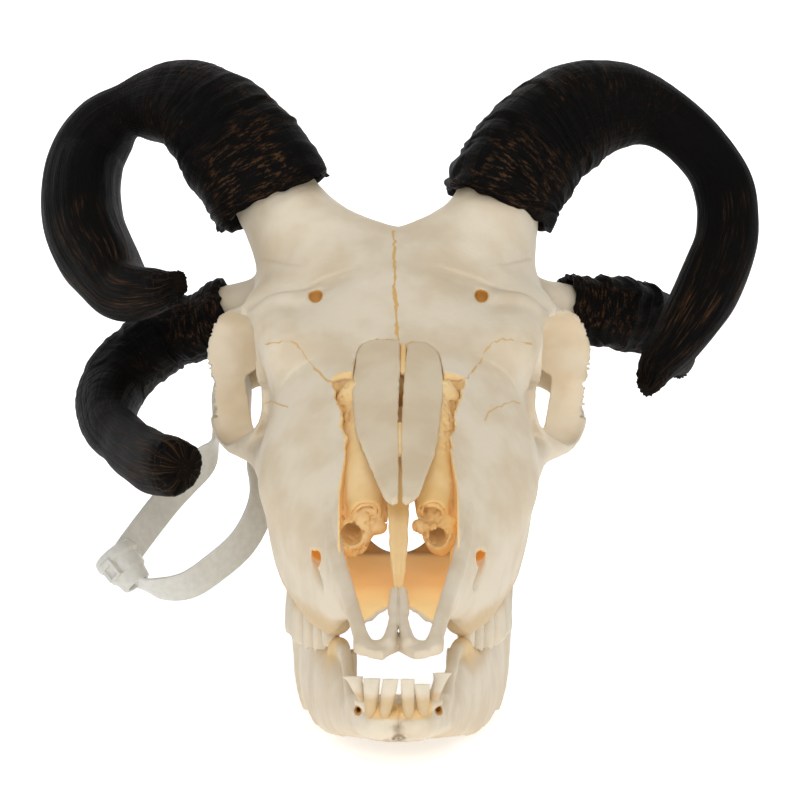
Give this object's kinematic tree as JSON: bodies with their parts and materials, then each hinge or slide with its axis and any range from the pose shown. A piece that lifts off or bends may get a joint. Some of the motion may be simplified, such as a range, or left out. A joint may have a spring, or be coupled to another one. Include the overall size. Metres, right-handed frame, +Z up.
{
  "type": "four-horned sheep skull with lower jaw",
  "caption": "Polycerate sheep skull lying on its lower jaw, with curling upper and lower horn sheaths, open nose and orbits, cheek and front teeth, and a plain strap tag round one cheek arch.",
  "frame": {"origin": "middle of the bounding box, on the floor that the lower jaw rests on", "axes": "+X to the animal's left, -Y toward the tip of the nose, +Z up from the floor"},
  "size_m": [0.2314, 0.2348, 0.2054],
  "materials": {
    "bone": "smooth cleaned ivory bone, matt, faintly orange in its seams and hollows",
    "nasal_bone": "slightly greyer smooth bone with faint lengthwise streaks",
    "turbinate_bone": "thin spongy yellow-orange bone",
    "horn": "dark brown-black keratin, ringed near the base, long grain toward the tip",
    "tag_plastic": "pale grey translucent moulded strap, unprinted"
  },
  "bodies": {
    "root": {"cranium": "bone", "upper_jaw": "bone", "nasal_left": "nasal_bone", "nasal_right": "nasal_bone", "premaxilla_left": "bone", "premaxilla_right": "bone", "turbinate_left": "turbinate_bone", "turbinate_right": "turbinate_bone", "mandible_left": "bone", "mandible_right": "bone", "horn_upper_left": "horn", "horn_upper_right": "horn", "horn_lower_left": "horn", "horn_lower_right": "horn", "tag_strap": "tag_plastic", "tag_lock": "tag_plastic"}
  },
  "joints": []
}
